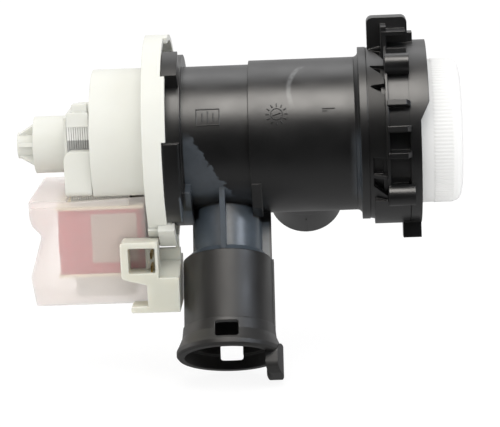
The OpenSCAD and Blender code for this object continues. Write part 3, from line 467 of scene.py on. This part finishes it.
def cover_shell(material):
    """Frosted coil cover: a thin rounded box, open above the stack and closed behind it, with a lip."""
    low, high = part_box("coil_cover")
    lip_out, wall, lip_low = 1.1 * MM, 1.4 * MM, high.z - 3.3 * MM
    back, half, lip_front = low.x + 0.8 * MM, high.y - lip_out, high.x - 8 * MM
    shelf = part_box("stator_laminations")[0].x - 1 * MM
    # side view, with a waist at the back
    outline = [(shelf, high.z), (back, high.z), (back, high.z - 8 * MM), (back + 1 * MM, high.z - 11.5 * MM),
               (back + 5 * MM, high.z - 16 * MM), (low.x, low.z + 13 * MM), (back + 1 * MM, low.z),
               (high.x, low.z), (high.x, high.z)]
    bm = bmesh.new()
    side = bm.faces.new([bm.verts.new((x, -half, z)) for x, z in outline])
    swept = bmesh.ops.extrude_face_region(bm, geom=[side])["geom"]
    bmesh.ops.translate(bm, verts=[g for g in swept if isinstance(g, bmesh.types.BMVert)],
                        vec=(0, 2 * half, 0))
    top = [f for f in bm.faces
           if all(abs(v.co.z - high.z) < 1e-6 and v.co.x > shelf - 1e-6 for v in f.verts)]
    bmesh.ops.delete(bm, geom=top, context="FACES_ONLY")
    bmesh.ops.recalc_face_normals(bm, faces=bm.faces)
    rims = [e for e in bm.edges if not e.is_boundary and e.calc_face_angle(0) > math.radians(12)]
    bevelled(bm, rims, 1.0 * MM, 3)
    for place, way in (((0, 0, lip_low), (0, 0, 1)), ((lip_front, 0, 0), (1, 0, 0))):
        bmesh.ops.bisect_plane(bm, geom=bm.verts[:] + bm.edges[:] + bm.faces[:], plane_co=place, plane_no=way)
    bmesh.ops.solidify(bm, geom=bm.faces[:], thickness=wall)
    bm.normal_update()
    for way in (-1, 1):
        outer = [f for f in bm.faces
                 if f.normal.y * way > 0.95 and f.calc_center_median().y * way > half - 0.1 * MM]
        band = [f for f in outer
                if f.calc_center_median().z > lip_low and f.calc_center_median().x < lip_front]
        raised = bmesh.ops.extrude_face_region(bm, geom=band)["geom"]
        bmesh.ops.delete(bm, geom=band, context="FACES_ONLY")
        bmesh.ops.translate(bm, verts=[g for g in raised if isinstance(g, bmesh.types.BMVert)],
                            vec=(0, way * lip_out, 0))
    made = piece("frosted_cover", bm, material, sharp=40)
    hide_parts("coil_cover")
    return made


# Finishes of the nodes that keep their own shape

def dress(finishes):
    for material, names in finishes:
        for name in names:
            NODES[name].data.materials.clear()
            NODES[name].data.materials.append(material)


black = black_polypropylene()
white = white_polypropylene()
nylon = connector_nylon()
plug = plug_plastic()
frosted = frosted_plastic()
tape = winding_tape()
steel = electrical_steel()
dress([
    (black, ["filter_housing"]),
    (white, ["motor_carrier", "stator_bracket"]),
    (nylon, ["connector_housing"]),
    (plug, ["filter_cap", "filter_comb"]),
    (frosted, ["coil_cover"]),
    (tape, ["winding_front", "winding_rear"]),
    (label_paper(), ["coil_label"]),
    (bobbin_nylon(), ["bobbin_front", "bobbin_rear"]),
    (steel, ["stator_laminations"]),
    (terminal_brass(), ["terminal_blades"]),
    (impeller_plastic(), ["impeller", "hub_cover", "bearing_plate"]),
    (rotor_plastic(), ["rotor_hub", "drive_dog"]),
    (seal_rubber(), ["shaft_seal", "plate_seal", "flange_seal", "filter_seal"]),
    (bush_carbon(), ["front_bearing", "rear_bearing", "thrust_washer"]),
    (ferrite(), ["rotor_magnet"]),
    (shaft_steel(), ["rotor_shaft", "retaining_ring"]),
])

tick_ring(black)
tube_ticks(black)
chamber_mark(black)
inlet_seam(black)
collar_fillet(black)
taped_coil("taped_coil_front", "winding_front", tape)
taped_coil("taped_coil_rear", "winding_rear", tape)
cover_shell(frosted)


# Floor, lights and camera

def floor_material():
    """Pale floor: white where it is seen or mirrored, and it still takes the object's shadow."""
    material, tree = new_material("pale_floor")
    path = add(tree, "LightPath", {}, {})
    seen = add(tree, "Math", {"operation": "MAXIMUM"}, {0: path.outputs["Is Camera Ray"],
                                                        1: path.outputs["Is Transmission Ray"]})
    spot = add(tree, "SeparateXYZ", {}, {0: add(tree, "NewGeometry", {}, {}).outputs["Position"]}).outputs
    gloss = add(tree, "MapRange", {}, {"Value": spot[1], "From Min": -0.25, "From Max": 0.45, "To Min": 0.0,
                                       "To Max": 0.68})
    paper = add(tree, "MapRange", {}, {"Value": spot[0], "From Min": -0.06, "From Max": 0.02, "To Min": 0.0,
                                       "To Max": 1.0})
    tone = add(tree, "Mix", {"data_type": "RGBA"}, {0: paper.outputs[0], 6: srgb("#e6e5e2"),
                                                    7: srgb("#ffffff")})
    matt = add(tree, "BsdfDiffuse", {}, {"Color": tone.outputs[2]})
    glow = add(tree, "Emission", {}, {"Color": (1, 1, 1, 1), "Strength": 0.9})
    shade = add(tree, "BsdfDiffuse", {}, {"Color": (0.12, 0.12, 0.12, 1)})
    bright = add(tree, "AddShader", {}, {0: glow.outputs[0], 1: shade.outputs[0]})
    mirror = add(tree, "Emission", {}, {"Color": (1, 1, 1, 1), "Strength": gloss.outputs[0]})
    lit = add(tree, "MixShader", {}, {0: path.outputs["Is Glossy Ray"], 1: matt.outputs[0],
                                      2: mirror.outputs[0]})
    both = add(tree, "MixShader", {}, {0: seen.outputs[0], 1: lit.outputs[0], 2: bright.outputs[0]})
    add(tree, "OutputMaterial", {}, {"Surface": both.outputs[0]})
    return material


def floor():
    """Floor under the part, from just in front of it to far behind."""
    bm = bmesh.new()
    level = cad_box[0].z - 0.0005
    corners = [(-4, -0.35, level), (4, -0.35, level), (4, 5, level), (-4, 5, level)]
    bm.faces.new([bm.verts.new(c) for c in corners])
    mesh = bpy.data.meshes.new("floor")
    bm.to_mesh(mesh)
    bm.free()
    mesh.materials.append(floor_material())
    made = bpy.data.objects.new("floor", mesh)
    bpy.context.scene.collection.objects.link(made)


def softbox(name, place, aim, size, radiance, colour="#ffffff"):
    """Rectangular lamp of a given radiance, turned to a point."""
    lamp = bpy.data.lights.new(name, "AREA")
    lamp.shape = "RECTANGLE"
    lamp.size, lamp.size_y = size
    lamp.energy = math.pi * radiance * size[0] * size[1]
    lamp.color = srgb(colour)[:3]
    made = bpy.data.objects.new(name, lamp)
    made.location = place
    made.rotation_mode = "QUATERNION"
    made.rotation_quaternion = (Vector(aim) - Vector(place)).to_track_quat("-Z", "Y")
    bpy.context.scene.collection.objects.link(made)


def surroundings():
    """Dim room, white where it is looked at or through."""
    world = bpy.data.worlds.new("studio")
    bpy.context.scene.world = world
    world.use_nodes = True
    tree = world.node_tree
    tree.nodes.clear()
    path = add(tree, "LightPath", {}, {})
    seen = add(tree, "Math", {"operation": "MAXIMUM"}, {0: path.outputs["Is Camera Ray"],
                                                        1: path.outputs["Is Transmission Ray"]})
    way = add(tree, "SeparateXYZ", {}, {0: add(tree, "TexCoord", {}, {}).outputs["Generated"]}).outputs[1]
    gloss = add(tree, "MapRange", {}, {"Value": way, "From Min": 0.2, "From Max": 0.7, "To Min": 0.005,
                                       "To Max": 0.66})
    matt = add(tree, "Mix", {"data_type": "FLOAT"}, {0: path.outputs["Is Glossy Ray"], 2: 1.0,
                                                     3: gloss.outputs[0]})
    strength = add(tree, "Mix", {"data_type": "FLOAT"}, {0: seen.outputs[0], 2: matt.outputs[0], 3: 1.0})
    sky = add(tree, "Background", {}, {"Color": (1, 1, 1, 1), "Strength": strength.outputs[0]})
    add(tree, "OutputWorld", {}, {"Surface": sky.outputs[0]})


def camera():
    """Camera at the photograph's angle: level with the motor's axis, looking a little down."""
    lens = bpy.data.cameras.new("camera")
    lens.lens = 163.234
    lens.sensor_width = 36
    lens.clip_start, lens.clip_end = 0.05, 50
    made = bpy.data.objects.new("camera", lens)
    right = Vector((0.998557, 0.032829, -0.042504))
    up = Vector((0.035195, 0.197781, 0.979614))
    back = Vector((0.040566, -0.979696, 0.19634))
    turned = Matrix((right, up, back)).transposed().to_4x4()
    made.matrix_world = Matrix.Translation((-0.03892, -0.997385, 0.165116)) @ turned
    bpy.context.scene.collection.objects.link(made)
    bpy.context.scene.camera = made


CENTRE = (-0.085, 0.0, -0.015)
floor()
surroundings()
softbox("key", (-0.08, -0.46, 0.85), CENTRE, (0.6, 0.58), 3.6, "#fffbf5")
softbox("back_top", (-0.08, 0.55, 1.0), CENTRE, (0.9, 0.6), 0.9)
softbox("right_fill", (0.68, -0.47, 0.63), CENTRE, (0.35, 0.35), 4.6, "#dfe8f5")
softbox("left_card", (-0.9, 0.1, 0.12), CENTRE, (0.5, 0.5), 0.95, "#f3f2ee")
camera()
bpy.context.scene.view_settings.view_transform = "Standard"
